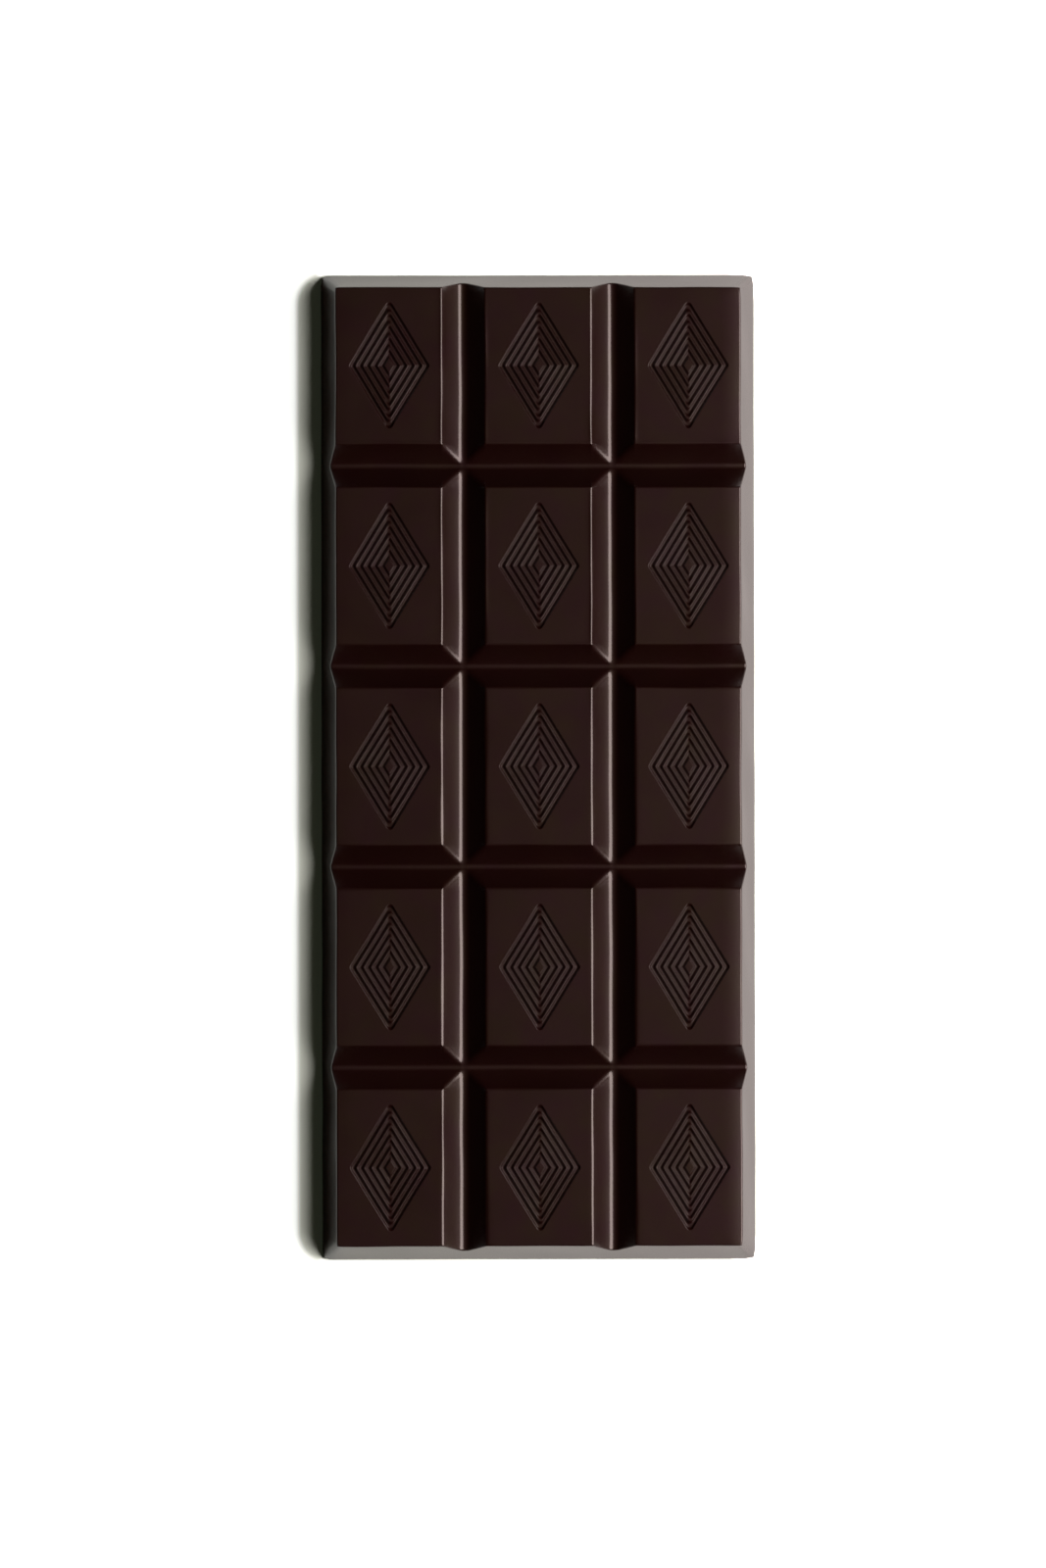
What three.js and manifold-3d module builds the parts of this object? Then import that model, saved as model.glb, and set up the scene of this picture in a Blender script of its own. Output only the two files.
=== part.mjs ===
import * as THREE from "three";
import { mergeVertices } from "three/addons/utils/BufferGeometryUtils.js";
import Module from "manifold-3d";

// A moulded bar of dark chocolate: one solid slab, scored into a grid of bevelled pieces, each with
// nested lozenges engraved in its face. Millimetres, +Z up, standing on z = 0, its length along Y.

// Size over all
const BAR_LENGTH = 156.3;
const BAR_WIDTH = 68.84;
const BAR_HEIGHT = 8;

// Outer wall: it leans in from the base, and its edges and corners are softened
const WALL_DRAFT = THREE.MathUtils.degToRad(17.15);
const BASE_ROUND = 0.35;
const RIM_ROUND = 0.35;
const CORNER_ROUND_AT_BASE = 0.85;
const CORNER_ROUND_AT_RIM = 0.35;

// Break grooves between the pieces: straight slopes, a round bottom and round shoulders.
// The lengthwise grooves have a rounder bottom than the crosswise ones.
const COLUMNS = 3;
const ROWS = 5;
const COLUMN_PITCH = 23.65;
const ROW_PITCH = 31.7;
const GROOVE_HALF_WIDTH = 3.42;
const GROOVE_SLOPE = THREE.MathUtils.degToRad(42);
const LENGTHWISE_BOTTOM_ROUND = 1.4;
const CROSSWISE_BOTTOM_ROUND = 0.9;
const GROOVE_SHOULDER_ROUND = 0.8;

// Lozenges engraved in the face of each piece, one inside the other
const LOZENGES = 5;
const LOZENGE_STEP = 1.013;
const LOZENGE_HEIGHT_TO_WIDTH = 1.63;
const LINE_HALF_WIDTH = 0.4;
const LINE_HALF_BOTTOM = 0.16;
const LINE_DEPTH = 0.4;
const LINE_CORNER_ROUND = 0.5;
const SMALLEST_ROUND = 0.1;

// How far a cutting shape reaches past the surface that it cuts
const CUT_CLEARANCE = 1;
const LINE_CLEARANCE = 0.05;

// Straight steps in one rounded corner
const RIM_STEPS = 5;
const BASE_STEPS = 3;
const CORNER_STEPS = 5;
const BOTTOM_STEPS = 8;
const SHOULDER_STEPS = 4;
const LINE_CORNER_STEPS = 2;

const wasm = await Module();
wasm.setup();

// Points of the arc that rounds the corner at b of the path a, b, c.
function roundedCorner(a, b, c, radius, steps) {
  const toA = a.clone().sub(b).normalize();
  const toC = c.clone().sub(b).normalize();
  const halfAngle = Math.acos(toA.dot(toC)) / 2;
  const middle = toA.clone().add(toC).normalize();
  const centre = b.clone().addScaledVector(middle, radius / Math.sin(halfAngle));
  const start = b.clone().addScaledVector(toA, radius / Math.tan(halfAngle));
  const end = b.clone().addScaledVector(toC, radius / Math.tan(halfAngle));
  const from = start.clone().sub(centre);
  const to = end.clone().sub(centre);
  const turn = Math.atan2(from.cross(to), from.dot(to));
  const points = [];
  for (let step = 0; step <= steps; step += 1) {
    points.push(start.clone().rotateAround(centre, (turn * step) / steps));
  }
  return points;
}

// A closed outline whose every corner is rounded with the same radius.
function roundedOutline(corners, radius, steps) {
  return corners.flatMap((corner, index) => {
    const before = corners[(index + corners.length - 1) % corners.length];
    const after = corners[(index + 1) % corners.length];
    return roundedCorner(before, corner, after, radius, steps);
  });
}

// A flat outline lifted to the height z.
function atHeight(outline, z) {
  return outline.map((point) => new THREE.Vector3(point.x, point.y, z));
}

// The closed surface through outlines of equal length. An open stack gets a cap at each end, and a
// closed one joins its last outline to its first, as a ring's section does.
function loft(outlines, isRing) {
  const count = outlines[0].length;
  const positions = outlines.flat().flatMap((point) => [point.x, point.y, point.z]);
  const triangles = [];
  const bands = isRing ? outlines.length : outlines.length - 1;
  for (let band = 0; band < bands; band += 1) {
    const low = band * count;
    const high = ((band + 1) % outlines.length) * count;
    for (let i = 0; i < count; i += 1) {
      const next = (i + 1) % count;
      triangles.push(low + i, low + next, high + next);
      triangles.push(low + i, high + next, high + i);
    }
  }
  if (!isRing) {
    const top = (outlines.length - 1) * count;
    for (let i = 1; i < count - 1; i += 1) {
      triangles.push(0, i + 1, i);
      triangles.push(top, top + i, top + i + 1);
    }
  }
  const geometry = new THREE.BufferGeometry();
  geometry.setAttribute("position", new THREE.Float32BufferAttribute(positions, 3));
  geometry.setIndex(triangles);
  return geometry;
}

// A three.js geometry as a solid that can be joined and cut.
function solidOf(geometry) {
  const bare = geometry.clone();
  bare.deleteAttribute("normal");
  bare.deleteAttribute("uv");
  const merged = mergeVertices(bare);
  return new wasm.Manifold(new wasm.Mesh({
    numProp: 3,
    vertProperties: new Float32Array(merged.attributes.position.array),
    triVerts: new Uint32Array(merged.index.array),
  }));
}

// A finished solid as a three.js geometry.
function geometryOf(solid) {
  const mesh = solid.getMesh();
  const geometry = new THREE.BufferGeometry();
  geometry.setAttribute("position", new THREE.BufferAttribute(mesh.vertProperties, 3));
  geometry.setIndex(new THREE.BufferAttribute(mesh.triVerts, 1));
  geometry.computeVertexNormals();
  return geometry;
}

// The slab before it is scored: rounded rectangles stacked from the base to the flat top.
function slab() {
  // The sharp base corner lies this far outside the rounded one
  const overhang = BASE_ROUND * (1 / Math.cos(WALL_DRAFT) + Math.tan(WALL_DRAFT) - 1);
  const farInside = BAR_WIDTH / 2;
  const baseCorner = new THREE.Vector2(-overhang, 0);
  const rimCorner = new THREE.Vector2(BAR_HEIGHT * Math.tan(WALL_DRAFT) - overhang, BAR_HEIGHT);
  const section = [
    ...roundedCorner(new THREE.Vector2(farInside, 0), baseCorner, rimCorner, BASE_ROUND, BASE_STEPS),
    ...roundedCorner(baseCorner, rimCorner, new THREE.Vector2(farInside, BAR_HEIGHT), RIM_ROUND, RIM_STEPS),
  ];
  return solidOf(loft(section.map((point) => {
    const x = BAR_WIDTH / 2 - point.x;
    const y = BAR_LENGTH / 2 - point.x;
    const round = THREE.MathUtils.lerp(CORNER_ROUND_AT_BASE, CORNER_ROUND_AT_RIM, point.y / BAR_HEIGHT);
    const corners = [
      new THREE.Vector2(x, y),
      new THREE.Vector2(-x, y),
      new THREE.Vector2(-x, -y),
      new THREE.Vector2(x, -y),
    ];
    return atHeight(roundedOutline(corners, round, CORNER_STEPS), point.y);
  }), false));
}

// The section of a break groove, from one shoulder to the other and closed above the face.
function grooveSection(bottomRound) {
  const rightShoulder = new THREE.Vector2(GROOVE_HALF_WIDTH, BAR_HEIGHT);
  const leftShoulder = new THREE.Vector2(-GROOVE_HALF_WIDTH, BAR_HEIGHT);
  const farRight = new THREE.Vector2(BAR_WIDTH, BAR_HEIGHT);
  const bottom = new THREE.Vector2(0, BAR_HEIGHT - GROOVE_HALF_WIDTH * Math.tan(GROOVE_SLOPE));
  const right = roundedCorner(farRight, rightShoulder, bottom, GROOVE_SHOULDER_ROUND, SHOULDER_STEPS);
  const left = right.map((point) => new THREE.Vector2(-point.x, point.y));
  const above = BAR_HEIGHT + CUT_CLEARANCE;
  return new THREE.Shape([
    new THREE.Vector2(right[0].x, above),
    new THREE.Vector2(-right[0].x, above),
    ...left,
    ...roundedCorner(leftShoulder, bottom, rightShoulder, bottomRound, BOTTOM_STEPS),
    ...right.reverse(),
  ]);
}

// A straight break groove of the given length, lying along Y over the middle of the bar.
function groove(length, bottomRound) {
  const section = grooveSection(bottomRound);
  const geometry = new THREE.ExtrudeGeometry(section, { depth: length, bevelEnabled: false });
  geometry.translate(0, 0, -length / 2);
  geometry.rotateX(Math.PI / 2);
  return geometry;
}

// All the break grooves, lengthwise and crosswise.
function grooves() {
  const cutters = [];
  for (let line = 1; line < COLUMNS; line += 1) {
    const x = (line - COLUMNS / 2) * COLUMN_PITCH;
    const along = groove(BAR_LENGTH + 2 * CUT_CLEARANCE, LENGTHWISE_BOTTOM_ROUND);
    cutters.push(solidOf(along.translate(x, 0, 0)));
  }
  for (let line = 1; line < ROWS; line += 1) {
    const y = (line - ROWS / 2) * ROW_PITCH;
    const across = groove(BAR_WIDTH + 2 * CUT_CLEARANCE, CROSSWISE_BOTTOM_ROUND);
    cutters.push(solidOf(across.rotateZ(Math.PI / 2).translate(0, y, 0)));
  }
  return cutters;
}

// A rounded lozenge whose sides lie at the given distance from its centre.
function lozengeOutline(distance, round, x, y) {
  const halfAngle = Math.atan(1 / LOZENGE_HEIGHT_TO_WIDTH);
  const halfWidth = distance / Math.cos(halfAngle);
  const halfHeight = distance / Math.sin(halfAngle);
  const corners = [
    new THREE.Vector2(x + halfWidth, y),
    new THREE.Vector2(x, y + halfHeight),
    new THREE.Vector2(x - halfWidth, y),
    new THREE.Vector2(x, y - halfHeight),
  ];
  return roundedOutline(corners, round, LINE_CORNER_STEPS);
}

// One engraved lozenge line: a ring with sloping sides and a narrow flat bottom.
function lozengeLine(distance, x, y) {
  const flare = (LINE_HALF_WIDTH - LINE_HALF_BOTTOM) / LINE_DEPTH;
  const top = LINE_HALF_WIDTH + flare * LINE_CLEARANCE;
  const section = [
    new THREE.Vector2(top, BAR_HEIGHT + LINE_CLEARANCE),
    new THREE.Vector2(-top, BAR_HEIGHT + LINE_CLEARANCE),
    new THREE.Vector2(-LINE_HALF_BOTTOM, BAR_HEIGHT - LINE_DEPTH),
    new THREE.Vector2(LINE_HALF_BOTTOM, BAR_HEIGHT - LINE_DEPTH),
  ];
  return solidOf(loft(section.map((point) => {
    const round = Math.max(SMALLEST_ROUND, LINE_CORNER_ROUND + point.x);
    return atHeight(lozengeOutline(distance + point.x, round, x, y), point.y);
  }), true));
}

// The nested lozenge lines of every piece.
function lozengeLines() {
  const cutters = [];
  for (let row = 0; row < ROWS; row += 1) {
    for (let column = 0; column < COLUMNS; column += 1) {
      const x = (column - (COLUMNS - 1) / 2) * COLUMN_PITCH;
      const y = (row - (ROWS - 1) / 2) * ROW_PITCH;
      for (let line = 1; line <= LOZENGES; line += 1) {
        cutters.push(lozengeLine(line * LOZENGE_STEP, x, y));
      }
    }
  }
  return cutters;
}

// Dark chocolate with the soft shine that a mould leaves.
function chocolate() {
  return new THREE.MeshStandardMaterial({ color: 0x2b1c18, roughness: 0.35, metalness: 0 });
}

// The whole bar, one solid.
function chocolateBar() {
  let solid = slab();
  for (const cutter of [...grooves(), ...lozengeLines()]) {
    solid = solid.subtract(cutter);
  }
  const bar = new THREE.Mesh(geometryOf(solid), chocolate());
  bar.name = "chocolate_bar";
  return bar;
}

const object = new THREE.Group();
object.add(chocolateBar());

export default object;
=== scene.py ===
"""A bar of dark chocolate, scored into pieces with nested lozenges, seen from straight above."""

import math
from itertools import product

import bpy
import numpy as np
from mathutils import Matrix, Vector, geometry


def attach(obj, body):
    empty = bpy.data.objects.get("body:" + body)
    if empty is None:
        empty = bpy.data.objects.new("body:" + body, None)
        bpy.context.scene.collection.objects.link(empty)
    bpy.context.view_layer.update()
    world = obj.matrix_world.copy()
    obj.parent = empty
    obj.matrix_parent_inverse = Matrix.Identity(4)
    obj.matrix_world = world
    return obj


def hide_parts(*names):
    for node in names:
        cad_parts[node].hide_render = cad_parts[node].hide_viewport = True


MM = 0.001

# The bar's shape, in millimetres and radians, a hair smaller than its solid to leave room for unevenness
BAR_LENGTH = 156.17
BAR_WIDTH = 68.68
BAR_HEIGHT = 7.945
WALL_DRAFT = math.radians(17.15)
BASE_ROUND = 0.35
RIM_ROUND = 0.35
CORNER_ROUND_AT_BASE = 0.85
CORNER_ROUND_AT_RIM = 0.35
COLUMNS = 3
ROWS = 5
COLUMN_PITCH = 23.65
ROW_PITCH = 31.7
GROOVE_HALF_WIDTH = 3.42
GROOVE_SLOPE = math.radians(45)
GROOVE_FOOT_SLOPE = math.radians(38.5)
LENGTHWISE_BOTTOM_ROUND = 1.4
CROSSWISE_BOTTOM_ROUND = 0.9
GROOVE_SHOULDER_ROUND = 0.62
MITRE_ROUND = 0.28
LOZENGES = 5
LOZENGE_STEP = 1.013
LOZENGE_HEIGHT_TO_WIDTH = 1.63
LOZENGE_SHIFT = 0.1
LINE_HALF_WIDTH = 0.40
LINE_HALF_BOTTOM = 0.15
LINE_EDGE_ROUND = 0.035
LINE_BOTTOM_ROUND = 0.02
LINE_DEPTH = 0.36
LINE_CORNER_ROUND = 0.1

# Lengths that follow from those
GROOVE_REACH = GROOVE_HALF_WIDTH + GROOVE_SHOULDER_ROUND * math.tan(GROOVE_SLOPE / 2)
SLOPE_TOP = GROOVE_REACH - GROOVE_SHOULDER_ROUND * math.sin(GROOVE_SLOPE)
OVERHANG = BASE_ROUND * (1 / math.cos(WALL_DRAFT) + math.tan(WALL_DRAFT) - 1)
RIM_INSET = (RIM_ROUND + (BAR_HEIGHT - RIM_ROUND) * math.sin(WALL_DRAFT)) / math.cos(WALL_DRAFT) - OVERHANG
BASE_INSET = BASE_ROUND * (1 + math.sin(WALL_DRAFT)) / math.cos(WALL_DRAFT) - OVERHANG
RIM_X = BAR_WIDTH / 2 - RIM_INSET
RIM_Y = BAR_LENGTH / 2 - RIM_INSET
CENTRES_X = [(line - COLUMNS / 2) * COLUMN_PITCH for line in range(1, COLUMNS)]
CENTRES_Y = [(line - ROWS / 2) * ROW_PITCH for line in range(1, ROWS)]

# Worn shoulders, which are crisper at the far end, and faces that droop towards the rim
SHOULDER_WEAR = 0.018
SHOULDER_WEAR_REACH = 0.25
SHOULDER_WEAR_WAVELENGTH = 18
WORN_DEPTH = 1.5
WORN_RUN = 1
FAR_CRISPNESS = 0.04
CRISP_FROM = 5
CRISP_RUN = 25
RIM_DROOP = 0.03
RIM_DROOP_RUN = 2.5
RIGHT_DROOP = 0.13

# Slight waves all over, sideways and up and down: sums of sines, whose rates are random within limits
SIDEWAYS_WAVELENGTH = 14
SIDEWAYS_WAVES = 0.02
UPWARD_WAVELENGTH = 16
UPWARD_WAVES = 0.012
WAVES_SUMMED = 12
WAVE_RATES = (0.6, 1.5)

# How finely the mesh follows the shape
FACE_STEPS_X = 20
FACE_STEPS_Y = 30
BOTTOM_STEPS = 8
SLOPE_STEPS = 5
SHOULDER_STEPS = 8
RIM_STEPS = 10
WALL_STEPS = 10
BASE_STEPS = 5
LINE_EDGE_STEPS = 3
OBTUSE_STEPS = 3
ACUTE_STEPS = 5
UNDERSIDE_SPACING = 1.5

# Where the mesh has extra loops: in a face around its lozenge, by share of the way in from its border,
# beside and outside the engraved lines, in the lozenge's middle, and under the bar inside its base edge
FACE_LOOP_SHARES = (0.02, 0.08, 0.2, 0.35, 0.5, 0.65, 0.8, 0.92)
LOOP_BESIDE_EDGE = 1.7 * LINE_EDGE_ROUND
LOOP_OUTSIDE_LINES = 0.2
MIDDLE_LOOPS = (0.4, 0.2)
LOOP_UNDERNEATH = 1.0

# Lengths over which the mesh spreads out near the rim and the corners
RIM_RUN = 3.0
CORNER_RUN = 3.0

# Lengths too small to see: one keeps divisions from failing, and points within the other are one point
TINY = 1e-9
SAME_PLACE = 1e-6

# The chocolate's bloom: a dull shine on level surfaces, with more on the faces and most near the bar's ends
BLOOM = 0.125
FACE_BLOOM = 0.010
END_FACE_BLOOM = 0.022
END_FROM = 40
END_RUN = 30

# The chocolate's coat: the smooth shine that the mould leaves, and that of the walls, which slide along it
MOULD_SHINE = 0.72
WALL_SHINE = 0.46

# The painted shadow in the floor's painted glow: how far its unlit strip reaches to the bar's left, its
# corners, and its soft edges
PAINTED_SHADOW_REACH = 3.3
PAINTED_SHADOW_CORNER = 4.5
PAINTED_SHADOW_LEFT_FADE = 1.2
PAINTED_SHADOW_FADE = 0.4

# How strongly the floor's painted glow shines at the bar's left and beside it, and how much more elsewhere
LEFT_GLOW = 0.55
GLOW = 1.2
MORE_GLOW_ACROSS = 0.25
MORE_GLOW_RIGHT = 0.4
MORE_GLOW_FAR = 0.8

# The painted glow's colours: cool from just left of the bar, nearly white a short share of the way across,
# and warm at its right side
COOL_PAINTED_GLOW = (0.92, 0.95, 1, 1)
COOL_PAINTED_GLOW_MARGIN = 5
WHITE_PAINTED_GLOW = (1, 0.95, 0.89, 1)
WHITE_PAINTED_GLOW_AT = 0.12
WARM_PAINTED_GLOW = (1, 0.83, 0.85, 1)

# The camera and the softbox, in millimetres, radians and watts
CAMERA_PLACE = (-20.5, -21.5, 1458)
CAMERA_AIM = (-2.51, -2.79, 8)
CAMERA_ROLL = math.radians(0.11)
CAMERA_SENSOR = 36
CAMERA_LENS = 210.8
SOFTBOX_PLACE = (385, -30, 400)
SOFTBOX_WIDTH = 600
SOFTBOX_DEPTH = 440
SOFTBOX_WATTS = 7.7

# The floor's half width, and how far below the bar it lies, in millimetres
FLOOR_HALF = 3000
FLOOR_GAP = 0.02

# The room's glow overhead and on the right
OVERHEAD_GLOW = 0.045
RIGHT_SIDE_GLOW = 0.06


class Groove:
    """The section of a break groove whose bottom has the given rounding."""

    def __init__(self, bottom_round):
        self.round = bottom_round
        self.foot = bottom_round * math.sin(GROOVE_FOOT_SLOPE)
        self.hollow = (math.tan(GROOVE_SLOPE) - math.tan(GROOVE_FOOT_SLOPE)) * (SLOPE_TOP - self.foot) / 2
        foot_depth = (GROOVE_HALF_WIDTH - self.foot) * math.tan(GROOVE_SLOPE) - self.hollow
        self.centre_depth = foot_depth - bottom_round * math.cos(GROOVE_FOOT_SLOPE)

    def lines(self):
        """Distances from the groove's middle, outwards, at which the mesh samples it."""
        bottom = self.round * np.sin(np.linspace(0, GROOVE_FOOT_SLOPE, BOTTOM_STEPS + 1))
        turn = np.linspace(GROOVE_SLOPE, 0, SHOULDER_STEPS + 1)
        shoulder = GROOVE_REACH - GROOVE_SHOULDER_ROUND * np.sin(turn)
        slope = np.linspace(bottom[-1], shoulder[0], SLOPE_STEPS + 1)[1:-1]
        return np.concatenate([bottom, slope, shoulder])

    def depth(self, places, centres):
        """How deep the nearest of the grooves at these centres is at each place."""
        offset = nearest_offset(places, centres)
        bottom = self.centre_depth + np.sqrt(np.clip(self.round**2 - offset**2, 0, None))
        hollow = self.hollow * np.clip((SLOPE_TOP - offset) / (SLOPE_TOP - self.foot), 0, 1) ** 2
        slope = (GROOVE_HALF_WIDTH - offset) * math.tan(GROOVE_SLOPE) - hollow
        from_edge = np.clip(GROOVE_REACH - offset, 0, GROOVE_SHOULDER_ROUND)
        shoulder = GROOVE_SHOULDER_ROUND - np.sqrt(GROOVE_SHOULDER_ROUND**2 - from_edge**2)
        return np.where(offset > SLOPE_TOP, shoulder, np.where(offset < self.foot, bottom, slope))


class Surface:
    """Points and faces, gathered part by part."""

    def __init__(self):
        self.points = []
        self.faces = []
        self.count = 0

    def add(self, points):
        """Take in points, and return their numbers in the same arrangement."""
        numbers = self.count + np.arange(points.size // 3).reshape(points.shape[:-1])
        self.points.append(points.reshape(-1, 3))
        self.count += numbers.size
        return numbers

    def join(self, outer, inner):
        """Fill the bands between outer loops and the loops inside them, anticlockwise as seen from above."""
        outer_next = np.roll(outer, -1, axis=1)
        inner_next = np.roll(inner, -1, axis=1)
        band = np.stack([outer, outer_next, inner_next, inner], axis=-1)
        self.faces.extend(map(tuple, band.reshape(-1, 4)))


def nearest_offset(places, centres):
    """How far each place is from the nearest centre."""
    return np.min(np.abs(places[:, None] - np.array(centres)[None, :]), axis=1)


def smooth_step(value):
    """From 0 to 1 with no kink at either end."""
    share = np.clip(value, 0, 1)
    return share * share * (3 - 2 * share)


def softer_maximum(first, second):
    """The larger of two depths, with the ridge where they are equal rounded off."""
    reach = np.clip(2 * np.minimum(first, second), TINY, MITRE_ROUND)
    return np.maximum(first, second) + np.clip(reach - np.abs(first - second), 0, None) ** 2 / (4 * reach)


def soft_positive(value, reach):
    """The value where it is above zero, else zero, with the kink rounded off."""
    rounded = np.clip(value + reach, 0, None) ** 2 / (4 * reach)
    return np.where(value > reach, value, rounded)


def line_depth(offset):
    """How deep an engraved line is at a distance from its middle."""
    side_width = LINE_HALF_WIDTH - LINE_HALF_BOTTOM
    outer = soft_positive(LINE_HALF_WIDTH - np.abs(offset), LINE_EDGE_ROUND)
    inner = soft_positive(LINE_HALF_BOTTOM - np.abs(offset), LINE_BOTTOM_ROUND)
    return LINE_DEPTH / side_width * (outer - inner)


def axis_lines(rim, centres, steps, groove):
    """The mesh lines across the bar from rim to rim, and the first and last line of each face."""
    lines = [-rim]
    faces = []
    for place in range(len(centres) + 1):
        last = place == len(centres)
        end = rim if last else centres[place] - GROOVE_REACH
        first = len(lines) - 1
        lines.extend(np.linspace(lines[-1], end, steps + 1)[1:])
        faces.append((first, len(lines) - 1))
        if not last:
            lines.extend(centres[place] - groove[::-1][1:])
            lines.extend(centres[place] + groove[1:])
    return np.array(lines), faces


def top_grid(xs, ys, depth_x, depth_y):
    """The points of the scored top: its grooves run out over the leaning wall."""
    depth = softer_maximum(depth_x[:, None], depth_y[None, :])
    lean = math.tan(WALL_DRAFT)
    near_x = smooth_step((np.abs(xs) - RIM_X + RIM_RUN) / RIM_RUN)
    near_y = smooth_step((np.abs(ys) - RIM_Y + RIM_RUN) / RIM_RUN)
    x = xs[:, None] + np.sign(xs)[:, None] * near_x[:, None] * depth_y[None, :] * lean
    y = ys[None, :] + np.sign(ys)[None, :] * near_y[None, :] * depth_x[:, None] * lean
    return np.stack([x, y, BAR_HEIGHT - depth], axis=-1)


def unit_lozenge(quarter):
    """A rounded lozenge whose sides are at distance 1, from its right corner round, in four equal counts."""
    normal = math.atan(1 / LOZENGE_HEIGHT_TO_WIDTH)
    inner = 1 - LINE_CORNER_ROUND
    side = np.linspace(0, normal, OBTUSE_STEPS + 1)
    tip = np.linspace(normal, math.pi / 2, ACUTE_STEPS + 1)
    right_x = inner / math.cos(normal) + LINE_CORNER_ROUND * np.cos(side)
    right = np.stack([right_x, LINE_CORNER_ROUND * np.sin(side)], axis=-1)
    top_y = inner / math.sin(normal) + LINE_CORNER_ROUND * np.sin(tip)
    top = np.stack([LINE_CORNER_ROUND * np.cos(tip), top_y], axis=-1)
    straight = np.linspace(right[-1], top[0], quarter - OBTUSE_STEPS - ACUTE_STEPS + 1)[1:-1]
    first = np.concatenate([right, straight, top])
    second = first[::-1] * [-1, 1]
    half = np.concatenate([first[:-1], second[:-1]])
    return np.concatenate([half, -half])


def lozenge_rows():
    """Distances from a lozenge's centre, inwards, and the depth of the engraving at each."""
    edge = np.linspace(-1, 1, LINE_EDGE_STEPS + 1)
    top = LINE_HALF_WIDTH - edge * LINE_EDGE_ROUND
    bottom = LINE_HALF_BOTTOM - np.array([-1, 0, 1]) * LINE_BOTTOM_ROUND
    half = np.concatenate([[LINE_HALF_WIDTH + LOOP_BESIDE_EDGE], top, bottom])
    offsets = np.concatenate([half, -half[::-1]])
    profile = line_depth(offsets)
    distances = [LOZENGES * LOZENGE_STEP + LINE_HALF_WIDTH + LOOP_OUTSIDE_LINES]
    depths = [0.0]
    for line in range(LOZENGES, 0, -1):
        distances.extend(line * LOZENGE_STEP + offsets)
        depths.extend(profile)
    for distance in MIDDLE_LOOPS:
        distances.append(distance)
        depths.append(0.0)
    return distances, depths


def face_loops(border):
    """The closed loops of one face inside its border, and the point in the middle of its lozenge."""
    centre = (border.min(axis=0) + border.max(axis=0)) / 2
    centre[0] += LOZENGE_SHIFT
    unit = unit_lozenge(len(border) // 4)
    engraved = []
    for distance, depth in zip(*lozenge_rows()):
        loop = np.full_like(border, BAR_HEIGHT - depth)
        loop[:, :2] = centre[:2] + distance * unit
        engraved.append(loop)
    around = [border + share * (engraved[0] - border) for share in FACE_LOOP_SHARES]
    middle = np.array([[centre[0], centre[1], BAR_HEIGHT]])
    return np.array(around + engraved), middle


def face_border(first_x, last_x, first_y, last_y):
    """Grid places round one face, from the middle of its right side anticlockwise."""
    middle_y = (first_y + last_y) // 2
    places = [(last_x, row) for row in range(middle_y, last_y)]
    places += [(column, last_y) for column in range(last_x, first_x, -1)]
    places += [(first_x, row) for row in range(last_y, first_y, -1)]
    places += [(column, first_y) for column in range(first_x, last_x)]
    places += [(last_x, row) for row in range(first_y, middle_y)]
    return places


def perimeter(count_x, count_y):
    """Grid places round the rim, anticlockwise from the near left corner, and whether each faces Y."""
    last_x = count_x - 1
    last_y = count_y - 1
    places = [(column, 0, True) for column in range(last_x)]
    places += [(last_x, row, False) for row in range(last_y)]
    places += [(column, last_y, True) for column in range(last_x, 0, -1)]
    places += [(0, row, False) for row in range(last_y, 0, -1)]
    return places


def outline_point(along, across, rim_along, rim_across, grow, rounding):
    """Distances along and across a side for the rim outline grown outwards, with rounded corners."""
    half_arc = rounding * math.pi / 4
    share = np.clip((rim_along - along) / CORNER_RUN, 0, 1)
    path = share * (CORNER_RUN + grow - rounding + half_arc)
    angle = math.pi / 4 + path / max(rounding, TINY)
    on_arc = path < half_arc
    near = share < 1
    straight = rim_along + grow - rounding - (path - half_arc)
    arc_along = rim_along + grow - rounding + rounding * np.cos(angle)
    arc_across = rim_across + grow - rounding + rounding * np.sin(angle)
    new_along = np.where(near, np.where(on_arc, arc_along, straight), along)
    new_across = np.where(near & on_arc, arc_across, rim_across + grow)
    return new_along, new_across


def wall_rows(depth):
    """For each row of the wall, how far it stands out from the rim, its height and its corner rounding."""
    lean = math.tan(WALL_DRAFT)
    rows = []
    for step in range(1, RIM_STEPS + 1):
        angle = math.pi / 2 + (WALL_DRAFT - math.pi / 2) * step / RIM_STEPS
        out = depth * lean + RIM_ROUND * math.cos(angle)
        height = BAR_HEIGHT - depth - RIM_ROUND + RIM_ROUND * math.sin(angle)
        rows.append((out, height, CORNER_ROUND_AT_RIM * step / RIM_STEPS))
    base_out = RIM_INSET - BASE_INSET
    top_out, top_height, _ = rows[-1]
    low_out = base_out + BASE_ROUND * math.cos(WALL_DRAFT)
    low_height = BASE_ROUND * (1 + math.sin(WALL_DRAFT))
    for step in range(1, WALL_STEPS):
        share = step / WALL_STEPS
        out = top_out + share * (low_out - top_out)
        height = top_height + share * (low_height - top_height)
        rounding = CORNER_ROUND_AT_RIM + share * (CORNER_ROUND_AT_BASE - CORNER_ROUND_AT_RIM)
        rows.append((out, height, rounding))
    for step in range(BASE_STEPS + 1):
        angle = WALL_DRAFT + (-math.pi / 2 - WALL_DRAFT) * step / BASE_STEPS
        out = np.full_like(depth, base_out + BASE_ROUND * math.cos(angle))
        height = np.full_like(depth, BASE_ROUND + BASE_ROUND * math.sin(angle))
        rows.append((out, height, CORNER_ROUND_AT_BASE - BASE_ROUND * step / BASE_STEPS / 2))
    inner = np.full_like(depth, base_out - LOOP_UNDERNEATH)
    rows.append((inner, np.zeros_like(depth), CORNER_ROUND_AT_BASE / 2))
    return rows


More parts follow.
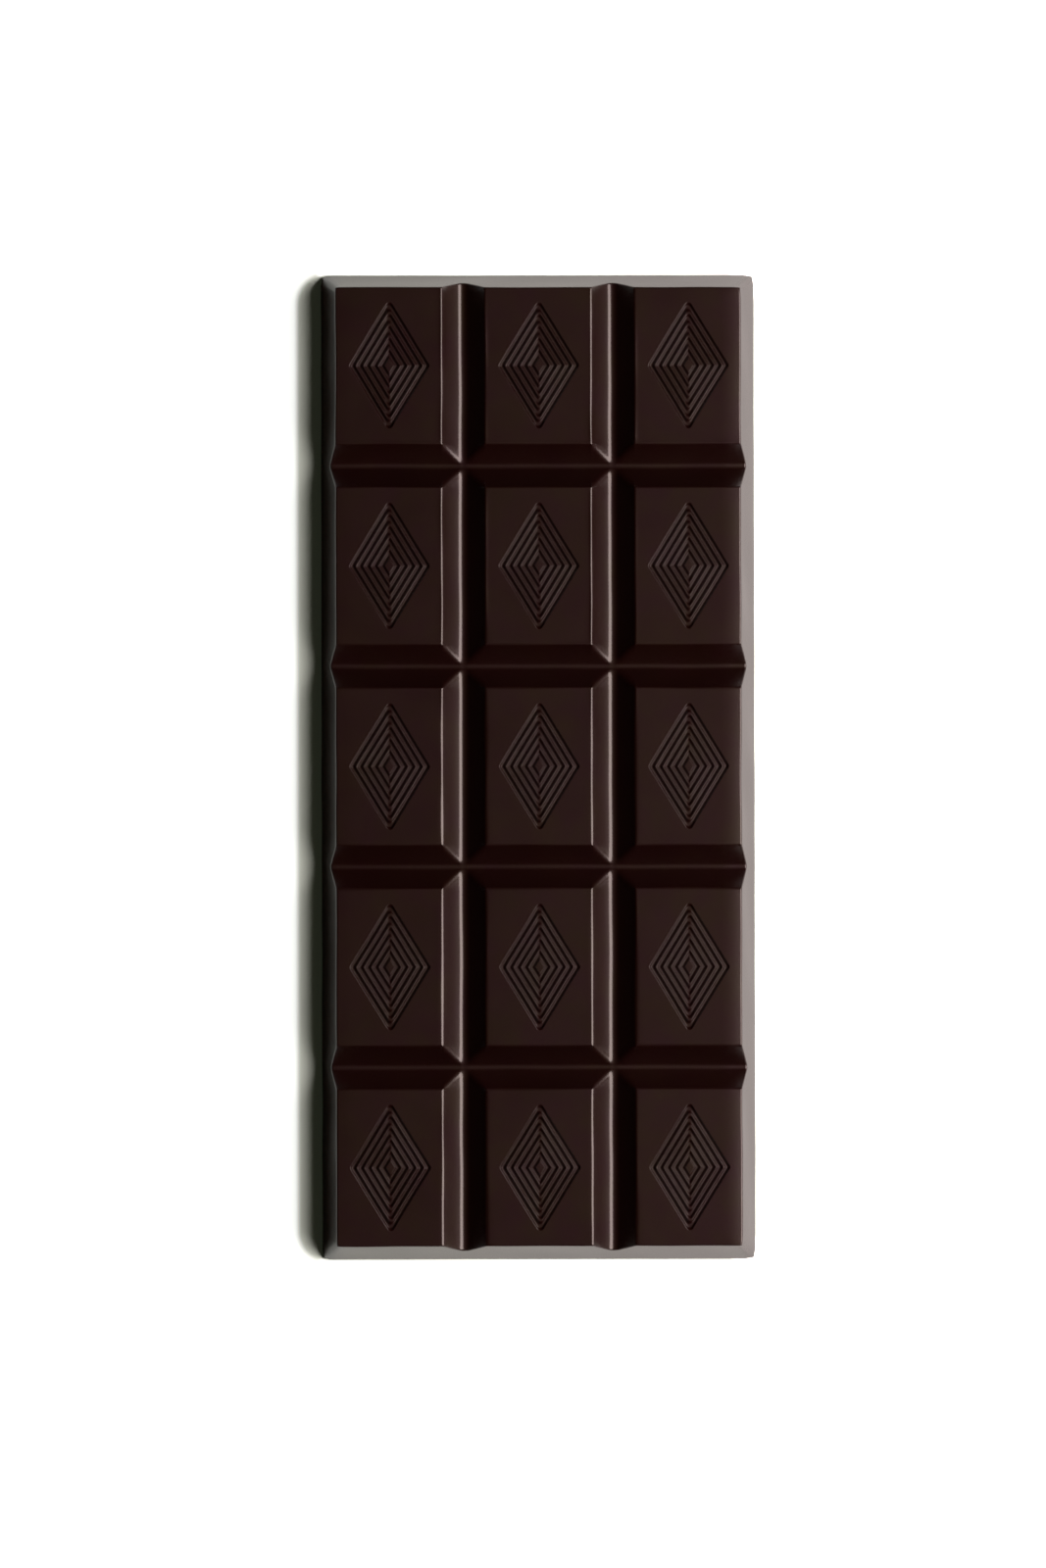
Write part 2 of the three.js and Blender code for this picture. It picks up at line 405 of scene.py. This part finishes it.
def wall_loops(xs, ys, depth_x, depth_y, places):
    """The closed loops of the wall, from under the rim down to the underside."""
    index_x, index_y, faces_y = np.array(places).T
    faces_y = faces_y.astype(bool)
    x = xs[index_x]
    y = ys[index_y]
    sign_x = np.where(x < 0, -1, 1)
    sign_y = np.where(y < 0, -1, 1)
    depth = np.where(faces_y, depth_x[index_x], depth_y[index_y])
    loops = []
    for grow, height, rounding in wall_rows(depth):
        along_x, across_y = outline_point(np.abs(x), np.abs(y), RIM_X, RIM_Y, grow, rounding)
        along_y, across_x = outline_point(np.abs(y), np.abs(x), RIM_Y, RIM_X, grow, rounding)
        new_x = np.where(faces_y, along_x, across_x) * sign_x
        new_y = np.where(faces_y, across_y, along_y) * sign_y
        loops.append(np.stack([new_x, new_y, height], axis=-1))
    return np.array(loops)


def fill_grooves(surface, numbers, spans):
    """The grooves: every cell of the grid that is in no face."""
    scored = np.ones(np.array(numbers.shape) - 1, bool)
    for (first_x, last_x), (first_y, last_y) in spans:
        scored[first_x:last_x, first_y:last_y] = False
    corners = [numbers[:-1, :-1], numbers[1:, :-1], numbers[1:, 1:], numbers[:-1, 1:]]
    cells = np.stack(corners, axis=-1)
    surface.faces.extend(map(tuple, cells[scored]))


def fill_face(surface, grid, numbers, span_x, span_y):
    """One face: loops from its border in through the engraved lines, and a fan in the middle."""
    places = face_border(*span_x, *span_y)
    loops, middle = face_loops(np.array([grid[place] for place in places]))
    border = [numbers[place] for place in places]
    rows = np.vstack([border, surface.add(loops)])
    centre = surface.add(middle)[0]
    surface.join(rows[:-1], rows[1:])
    surface.faces.extend((here, after, centre) for here, after in zip(rows[-1], np.roll(rows[-1], -1)))


def fill_underside(surface, border, loop):
    """The underside, whose border has these numbers and points."""
    low = loop[:, :2].min(axis=0) + UNDERSIDE_SPACING
    high = loop[:, :2].max(axis=0) - UNDERSIDE_SPACING
    counts = np.round((high - low) / UNDERSIDE_SPACING).astype(int)
    across, along = np.meshgrid(*(np.linspace(*span) for span in zip(low, high, counts)))
    inside = np.stack([across.ravel(), along.ravel()], axis=-1)
    flat = [Vector(place) for place in np.concatenate([loop[:, :2], inside])]
    only_inside = 1
    made = geometry.delaunay_2d_cdt(flat, [], [list(range(len(loop)))], only_inside, SAME_PLACE)
    places, triangles, origins = made[0], made[2], made[3]
    numbers = []
    extra = []
    for place, (origin, *_) in zip(places, origins):
        if origin < len(border):
            numbers.append(border[origin])
        else:
            numbers.append(surface.count + len(extra))
            extra.append((place.x, place.y, 0.0))
    surface.add(np.array(extra))
    surface.faces.extend((numbers[c], numbers[b], numbers[a]) for a, b, c in triangles)


def bar_mesh():
    """The bar's fine surface as points and faces, in millimetres."""
    lengthwise = Groove(LENGTHWISE_BOTTOM_ROUND)
    crosswise = Groove(CROSSWISE_BOTTOM_ROUND)
    xs, faces_x = axis_lines(RIM_X, CENTRES_X, FACE_STEPS_X, lengthwise.lines())
    ys, faces_y = axis_lines(RIM_Y, CENTRES_Y, FACE_STEPS_Y, crosswise.lines())
    depth_x = lengthwise.depth(xs, CENTRES_X)
    depth_y = crosswise.depth(ys, CENTRES_Y)
    surface = Surface()

    # The scored top with its faces
    grid = top_grid(xs, ys, depth_x, depth_y)
    numbers = surface.add(grid)
    spans = list(product(faces_x, faces_y))
    fill_grooves(surface, numbers, spans)
    for span_x, span_y in spans:
        fill_face(surface, grid, numbers, span_x, span_y)

    # The walls with the base edge, and the underside
    places = perimeter(len(xs), len(ys))
    loops = wall_loops(xs, ys, depth_x, depth_y, places)
    rim = [numbers[column, row] for column, row, _ in places]
    rows = np.vstack([rim, surface.add(loops)])
    surface.join(rows[1:], rows[:-1])
    fill_underside(surface, rows[-1], loops[-1])
    return np.concatenate(surface.points), surface.faces


def waves(points, length, amount, seed):
    """Smooth random numbers over points, with about the given wavelength and size."""
    rng = np.random.default_rng(seed)
    total = np.zeros(len(points))
    for _ in range(WAVES_SUMMED):
        direction = rng.normal(size=3)
        direction *= 2 * math.pi * rng.uniform(*WAVE_RATES) / length / np.linalg.norm(direction)
        total += np.sin(points @ direction + rng.uniform(0, 2 * math.pi))
    return amount * total / math.sqrt(WAVES_SUMMED / 2)


def wear(values, centres):
    """How close points are to the shoulders of the nearest of these grooves, from 0 to 1."""
    middle = (SLOPE_TOP + GROOVE_REACH) / 2
    return np.exp(-((nearest_offset(values, centres) - middle) / SHOULDER_WEAR_REACH) ** 2)


def handmade(points):
    """The same points with the slight unevenness of a moulded thing."""
    moved = points.copy()
    x, y, z = points.T
    up = smooth_step(z / BAR_HEIGHT)
    moved[:, 0] += waves(points, SIDEWAYS_WAVELENGTH, SIDEWAYS_WAVES, seed=1)
    moved[:, 1] += waves(points, SIDEWAYS_WAVELENGTH, SIDEWAYS_WAVES, seed=2)
    moved[:, 2] += waves(points, UPWARD_WAVELENGTH, UPWARD_WAVES, seed=3) * up

    # Wear on the shoulders of the grooves
    on_top = smooth_step((z - BAR_HEIGHT + WORN_DEPTH) / WORN_RUN)
    worn = np.maximum(wear(x, CENTRES_X), wear(y, CENTRES_Y))
    crisp = FAR_CRISPNESS * smooth_step((y - CRISP_FROM) / CRISP_RUN)
    uneven = waves(points, SHOULDER_WEAR_WAVELENGTH, SHOULDER_WEAR, seed=4)
    moved[:, 2] -= on_top * worn * (SHOULDER_WEAR - crisp + uneven)

    # Droop towards the rim
    past_x = np.clip((np.abs(x) - RIM_X) / RIM_DROOP_RUN + 1, 0, 1)
    past_y = np.clip((np.abs(y) - RIM_Y) / RIM_DROOP_RUN + 1, 0, 1)
    droop_x = np.where(x > 0, RIGHT_DROOP, RIM_DROOP) * past_x**2
    moved[:, 2] -= up * np.maximum(droop_x, RIM_DROOP * past_y**2)
    moved[:, 2] = np.clip(moved[:, 2], 0, None)
    return moved


def without_unused(points, faces):
    """The same surface without the points that no face uses."""
    used = np.zeros(len(points), bool)
    for face in faces:
        used[list(face)] = True
    renumber = np.cumsum(used) - 1
    return points[used], [tuple(int(renumber[corner]) for corner in face) for face in faces]


class Graph:
    """The node tree of a material or a world, with short ways to add the usual nodes."""

    def __init__(self, owner):
        owner.use_nodes = True
        self.nodes = owner.node_tree.nodes
        self.links = owner.node_tree.links

    def feed(self, socket, source):
        """Give a socket an output of another node, or a number or colour of its own."""
        if isinstance(source, bpy.types.NodeSocket):
            self.links.new(source, socket)
        else:
            socket.default_value = source

    def coordinates(self, kind):
        """The kind of coordinates named, such as Object for places on the object in metres."""
        return self.nodes.new("ShaderNodeTexCoord").outputs[kind]

    def parts(self, vector):
        """The outputs X, Y and Z of a vector."""
        node = self.nodes.new("ShaderNodeSeparateXYZ")
        self.links.new(vector, node.inputs["Vector"])
        return node.outputs

    def math(self, operation, first, second=None):
        """The result of a math node, whose inputs may be numbers or outputs."""
        node = self.nodes.new("ShaderNodeMath")
        node.operation = operation
        self.feed(node.inputs[0], first)
        if second is not None:
            self.feed(node.inputs[1], second)
        return node.outputs["Value"]

    def ramp(self, value, start, end, low, high, kind="SMOOTHSTEP"):
        """A change from low to high as value goes from start to end, each a number or an output."""
        node = self.nodes.new("ShaderNodeMapRange")
        node.interpolation_type = kind
        wanted = {"Value": value, "From Min": start, "From Max": end, "To Min": low, "To Max": high}
        for name, source in wanted.items():
            self.feed(node.inputs[name], source)
        return node.outputs["Result"]

    def noise(self, size, detail):
        """Noise over the object whose features are about the given size in millimetres."""
        node = self.nodes.new("ShaderNodeTexNoise")
        node.inputs["Scale"].default_value = 1 / (size * MM)
        node.inputs["Detail"].default_value = detail
        self.links.new(self.coordinates("Object"), node.inputs["Vector"])
        return node.outputs["Fac"]

    def uneven(self, size, detail, low, high):
        """A number that wavers between low and high over the object."""
        return self.ramp(self.noise(size, detail), start=0.3, end=0.7, low=low, high=high, kind="LINEAR")

    def colours(self, factor, first, second):
        """A colour between two, by a factor from 0 to 1."""
        node = self.nodes.new("ShaderNodeMix")
        node.data_type = "RGBA"
        node.inputs["A"].default_value = first
        node.inputs["B"].default_value = second
        self.links.new(factor, node.inputs["Factor"])
        return node.outputs["Result"]

    def outside(self, value, centre, half):
        """How far a coordinate lies outside centre plus or minus half, or zero."""
        offset = self.math("ABSOLUTE", self.math("SUBTRACT", value, centre))
        return self.math("MAXIMUM", self.math("SUBTRACT", offset, half), 0)

    def distance(self, x, y):
        """The length of the vector with these two coordinates."""
        offset = self.nodes.new("ShaderNodeCombineXYZ")
        self.links.new(x, offset.inputs["X"])
        self.links.new(y, offset.inputs["Y"])
        node = self.nodes.new("ShaderNodeVectorMath")
        node.operation = "LENGTH"
        self.links.new(offset.outputs["Vector"], node.inputs[0])
        return node.outputs["Value"]


def new_material(name):
    """A new material with its node graph and the inputs of its principled shader."""
    material = bpy.data.materials.new(name)
    graph = Graph(material)
    return material, graph, graph.nodes["Principled BSDF"].inputs


def bloom_on_level_parts(graph, level):
    """The specular level, which rises as the surface turns level, and rises again on the faces."""
    y = graph.parts(graph.coordinates("Object"))["Y"]
    beyond = graph.outside(y, centre=0, half=END_FROM * MM)
    on_faces = graph.ramp(beyond, start=0, end=END_RUN * MM, low=FACE_BLOOM, high=END_FACE_BLOOM)
    bloom = graph.ramp(level, start=0.3, end=0.6, low=0, high=BLOOM)
    more_bloom = graph.ramp(level, start=0.85, end=0.97, low=0, high=on_faces)
    return graph.math("ADD", bloom, more_bloom)


def chocolate():
    """Dark chocolate: nearly black red-brown under a soft shine."""
    material, graph, shader = new_material("dark_chocolate")
    red_black = (0.0040, 0.0004, 0.0002, 1)
    red_brown = (0.0056, 0.0006, 0.0003, 1)
    graph.feed(shader["Base Color"], graph.colours(graph.noise(size=6, detail=3), red_black, red_brown))

    # A faint bloom on whatever faces up; the socket's own number is for readers that follow no links
    level = graph.parts(graph.coordinates("Normal"))["Z"]
    shader["Specular IOR Level"].default_value = BLOOM + FACE_BLOOM
    graph.feed(shader["Specular IOR Level"], bloom_on_level_parts(graph, level))
    graph.feed(shader["Roughness"], graph.uneven(size=9, detail=4, low=0.44, high=0.52))
    graph.feed(shader["IOR"], 1.5)
    pink = (1.0, 0.60, 0.70, 1)
    amber = (1.0, 0.80, 0.56, 1)
    tint = graph.colours(graph.uneven(size=5, detail=3, low=0, high=1), pink, amber)
    graph.feed(shader["Specular Tint"], tint)

    # The smooth shine of the mould, which is duller on the walls, and its own number for the same readers
    shader["Coat Weight"].default_value = MOULD_SHINE
    shine = graph.ramp(level, start=0.4, end=0.6, low=WALL_SHINE, high=MOULD_SHINE)
    graph.feed(shader["Coat Weight"], shine)
    graph.feed(shader["Coat Roughness"], 0.22)
    graph.feed(shader["Coat IOR"], 1.45)

    # A very fine unevenness that only breaks up the highlights
    bump = graph.nodes.new("ShaderNodeBump")
    graph.feed(bump.inputs["Strength"], 0.025)
    graph.feed(bump.inputs["Distance"], 0.05 * MM)
    graph.feed(bump.inputs["Height"], graph.noise(size=0.8, detail=4))
    graph.feed(shader["Normal"], bump.outputs["Normal"])
    return material


def make_bar():
    """The bar as one smooth Blender object."""
    points, faces = bar_mesh()
    points, faces = without_unused(handmade(points), faces)
    mesh = bpy.data.meshes.new("chocolate_tablet")
    mesh.from_pydata((points * MM).tolist(), [], faces)
    mesh.shade_smooth()
    mesh.materials.append(chocolate())
    bar = bpy.data.objects.new("chocolate_tablet", mesh)
    bpy.context.scene.collection.objects.link(bar)
    return bar


def painted_floor_glow(graph, x, y):
    """How strongly the floor glows as painted light: not under the bar, and not in a strip a little to its
    left that holds the painted shadow.
    """
    side = BAR_WIDTH / 2
    painted_shadow_left = -side - PAINTED_SHADOW_REACH
    half_x = (side - painted_shadow_left) / 2 - PAINTED_SHADOW_CORNER
    half_y = BAR_LENGTH / 2 - PAINTED_SHADOW_CORNER
    outside_x = graph.outside(x, centre=(side + painted_shadow_left) / 2 * MM, half=half_x * MM)
    outside_y = graph.outside(y, centre=0, half=half_y * MM)
    distance = graph.distance(outside_x, outside_y)

    # The painted shadow's edge is softer and the painted glow is weaker to the left of the bar
    left = -side * MM
    beyond_left = (-side - 1) * MM
    right = side * MM
    beyond_right = (side + 0.4) * MM
    fade = graph.ramp(x, beyond_left, left, low=PAINTED_SHADOW_LEFT_FADE * MM, high=PAINTED_SHADOW_FADE * MM)
    beside = graph.ramp(x, beyond_left, left, low=LEFT_GLOW, high=GLOW)
    across = graph.ramp(x, left, 0, low=0, high=MORE_GLOW_ACROSS)
    at_right = graph.ramp(x, right, beyond_right, low=0, high=MORE_GLOW_RIGHT)
    far = graph.ramp(distance, start=20 * MM, end=120 * MM, low=0, high=MORE_GLOW_FAR)
    strength = beside
    for more in (across, at_right, far):
        strength = graph.math("ADD", strength, more)
    start = PAINTED_SHADOW_CORNER * MM
    return graph.ramp(distance, start, graph.math("ADD", fade, start), low=0, high=strength)


def floor_with_painted_glow():
    """White paper that glows as painted light, except under the bar and in a painted shadow strip to its
    left.
    """
    material, graph, shader = new_material("floor_painted_glow")
    graph.feed(shader["Base Color"], (0.79, 0.94, 0.87, 1))
    graph.feed(shader["Roughness"], 0.9)
    graph.feed(shader["Specular IOR Level"], 0)
    place = graph.parts(graph.coordinates("Object"))
    # Painted light: the floor glows, and the strip where it does not glow is a painted shadow
    graph.feed(shader["Emission Strength"], painted_floor_glow(graph, place["X"], place["Y"]))

    # The painted glow is cool on the left, warm on the right
    side = BAR_WIDTH / 2
    tint = graph.nodes.new("ShaderNodeValToRGB")
    stops = tint.color_ramp.elements
    stops[0].color = COOL_PAINTED_GLOW
    stops[1].color = WARM_PAINTED_GLOW
    stops.new(WHITE_PAINTED_GLOW_AT).color = WHITE_PAINTED_GLOW
    cool_end = (-side - COOL_PAINTED_GLOW_MARGIN) * MM
    across = graph.ramp(place["X"], start=cool_end, end=side * MM, low=0, high=1, kind="LINEAR")
    graph.feed(tint.inputs["Fac"], across)
    graph.feed(shader["Emission Color"], tint.outputs["Color"])
    return material


def make_floor():
    """The surface that the bar lies on."""
    mesh = bpy.data.meshes.new("floor")
    corners = [(-1, -1, 0), (1, -1, 0), (1, 1, 0), (-1, 1, 0)]
    mesh.from_pydata([Vector(corner) * FLOOR_HALF * MM for corner in corners], [], [(0, 1, 2, 3)])
    mesh.materials.append(floor_with_painted_glow())
    floor = bpy.data.objects.new("floor", mesh)
    floor.location.z = -FLOOR_GAP * MM
    bpy.context.scene.collection.objects.link(floor)
    return floor


def pointing(location, target, up):
    """A placement at location that looks along its own -Z at target."""
    forward = (target - location).normalized()
    right = forward.cross(up).normalized()
    turn = Matrix((right, right.cross(forward), -forward)).transposed()
    return Matrix.Translation(location) @ turn.to_4x4()


def make_camera():
    """A long lens high above the bar, a little towards its near left corner."""
    data = bpy.data.cameras.new("camera")
    data.sensor_width = CAMERA_SENSOR
    data.lens = CAMERA_LENS
    camera = bpy.data.objects.new("camera", data)
    up = Vector((math.sin(CAMERA_ROLL), math.cos(CAMERA_ROLL), 0))
    camera.matrix_world = pointing(Vector(CAMERA_PLACE) * MM, Vector(CAMERA_AIM) * MM, up)
    bpy.context.scene.collection.objects.link(camera)
    bpy.context.scene.camera = camera


def make_softbox():
    """A large oval softbox, above the bar and to its right."""
    data = bpy.data.lights.new("softbox", "AREA")
    data.shape = "ELLIPSE"
    data.size = SOFTBOX_WIDTH * MM
    data.size_y = SOFTBOX_DEPTH * MM
    data.energy = SOFTBOX_WATTS
    data.color = (1, 0.84, 0.795)
    softbox = bpy.data.objects.new("softbox", data)
    softbox.matrix_world = pointing(Vector(SOFTBOX_PLACE) * MM, Vector((0, 0, 0)), Vector((0, 0, 1)))
    softbox.visible_camera = False
    bpy.context.scene.collection.objects.link(softbox)


def make_room():
    """A dim room: a glow overhead, a paler side on the right, and dark all round."""
    world = bpy.data.worlds.new("room")
    graph = Graph(world)
    direction = graph.parts(graph.coordinates("Generated"))
    overhead = graph.ramp(direction["Z"], start=0.5, end=0.95, low=0, high=OVERHEAD_GLOW)
    side = graph.ramp(direction["X"], start=0.6, end=1, low=0, high=RIGHT_SIDE_GLOW)
    background = graph.nodes["Background"].inputs
    graph.feed(background["Color"], (1, 0.93, 0.65, 1))
    graph.feed(background["Strength"], graph.math("ADD", overhead, side))
    bpy.context.scene.world = world


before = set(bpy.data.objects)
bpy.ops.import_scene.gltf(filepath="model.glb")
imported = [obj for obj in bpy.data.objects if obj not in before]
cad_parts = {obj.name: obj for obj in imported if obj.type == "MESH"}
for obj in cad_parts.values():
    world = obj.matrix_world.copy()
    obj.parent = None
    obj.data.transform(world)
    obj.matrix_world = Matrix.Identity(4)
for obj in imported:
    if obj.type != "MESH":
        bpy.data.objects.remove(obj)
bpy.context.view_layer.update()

bpy.context.scene.view_settings.view_transform = "Standard"
make_room()
make_softbox()
make_camera()
make_floor()

bar = make_bar()
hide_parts("chocolate_bar")
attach(bar, "root")
